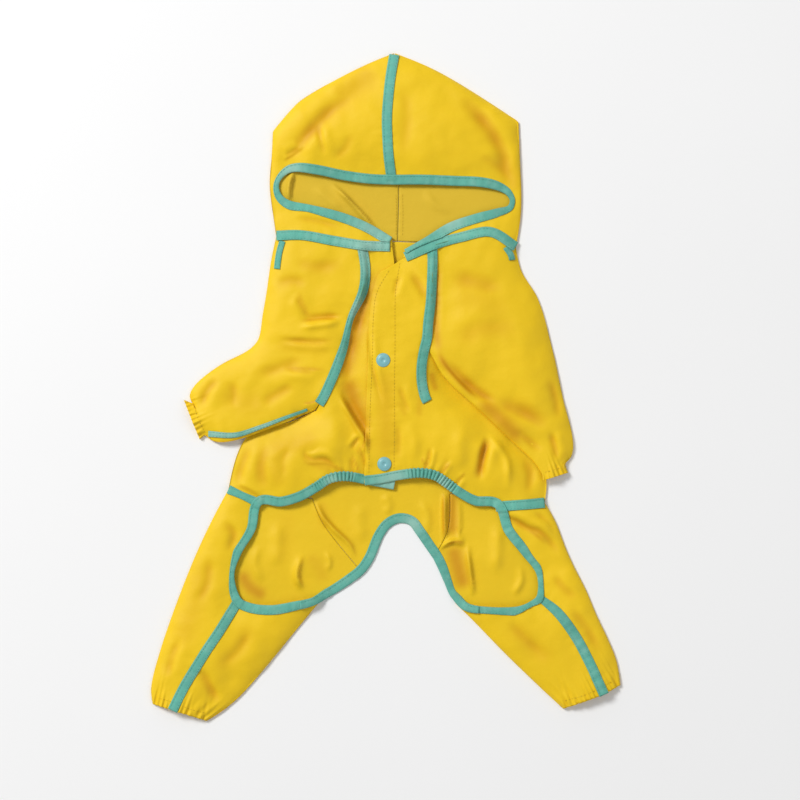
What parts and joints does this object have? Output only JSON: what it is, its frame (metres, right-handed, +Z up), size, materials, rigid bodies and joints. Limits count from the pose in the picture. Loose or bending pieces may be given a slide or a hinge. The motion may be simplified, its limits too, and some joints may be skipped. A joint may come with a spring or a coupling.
{
  "type": "dog raincoat",
  "caption": "Hooded raincoat with legs for a small dog, laid flat belly side up, with bound seams, gathered hem and cuffs, and a snap placket.",
  "frame": {"origin": "middle of the coat's outline, on the surface that it lies on", "axes": "+Y towards the hood's peak, +X towards the viewer's right in the picture, +Z up from the surface"},
  "size_m": [0.423, 0.6009, 0.0164],
  "materials": {
    "shell_fabric": "matte",
    "binding_fabric": "satin",
    "snap_plastic": "satin"
  },
  "bodies": {
    "root": {"hood_left": "shell_fabric", "hood_right": "shell_fabric", "back_panel": "shell_fabric", "sleeve_left": "shell_fabric", "sleeve_right": "shell_fabric", "belly_left": "shell_fabric", "belly_right": "shell_fabric", "leg_left": "shell_fabric", "leg_right": "shell_fabric", "hood_centre_tape": "binding_fabric", "face_tape": "binding_fabric", "neck_tape_left": "binding_fabric", "neck_tape_right": "binding_fabric", "shoulder_tape_left": "binding_fabric", "shoulder_tape_right": "binding_fabric", "waist_tape_left": "binding_fabric", "waist_tape_right": "binding_fabric", "leg_tape_left": "binding_fabric", "leg_tape_right": "binding_fabric", "raglan_tape_left": "binding_fabric", "raglan_tape_right": "binding_fabric", "underarm_tape_left": "binding_fabric", "hem_tape_left": "binding_fabric", "hem_tape_right": "binding_fabric", "opening_tape_left": "binding_fabric", "opening_tape_right": "binding_fabric", "loop_tape_left": "binding_fabric", "loop_tape_right": "binding_fabric", "crotch_tape_left": "binding_fabric", "crotch_tape_right": "binding_fabric", "arch_tape": "binding_fabric", "snap_upper": "snap_plastic", "snap_lower": "snap_plastic"}
  },
  "joints": []
}
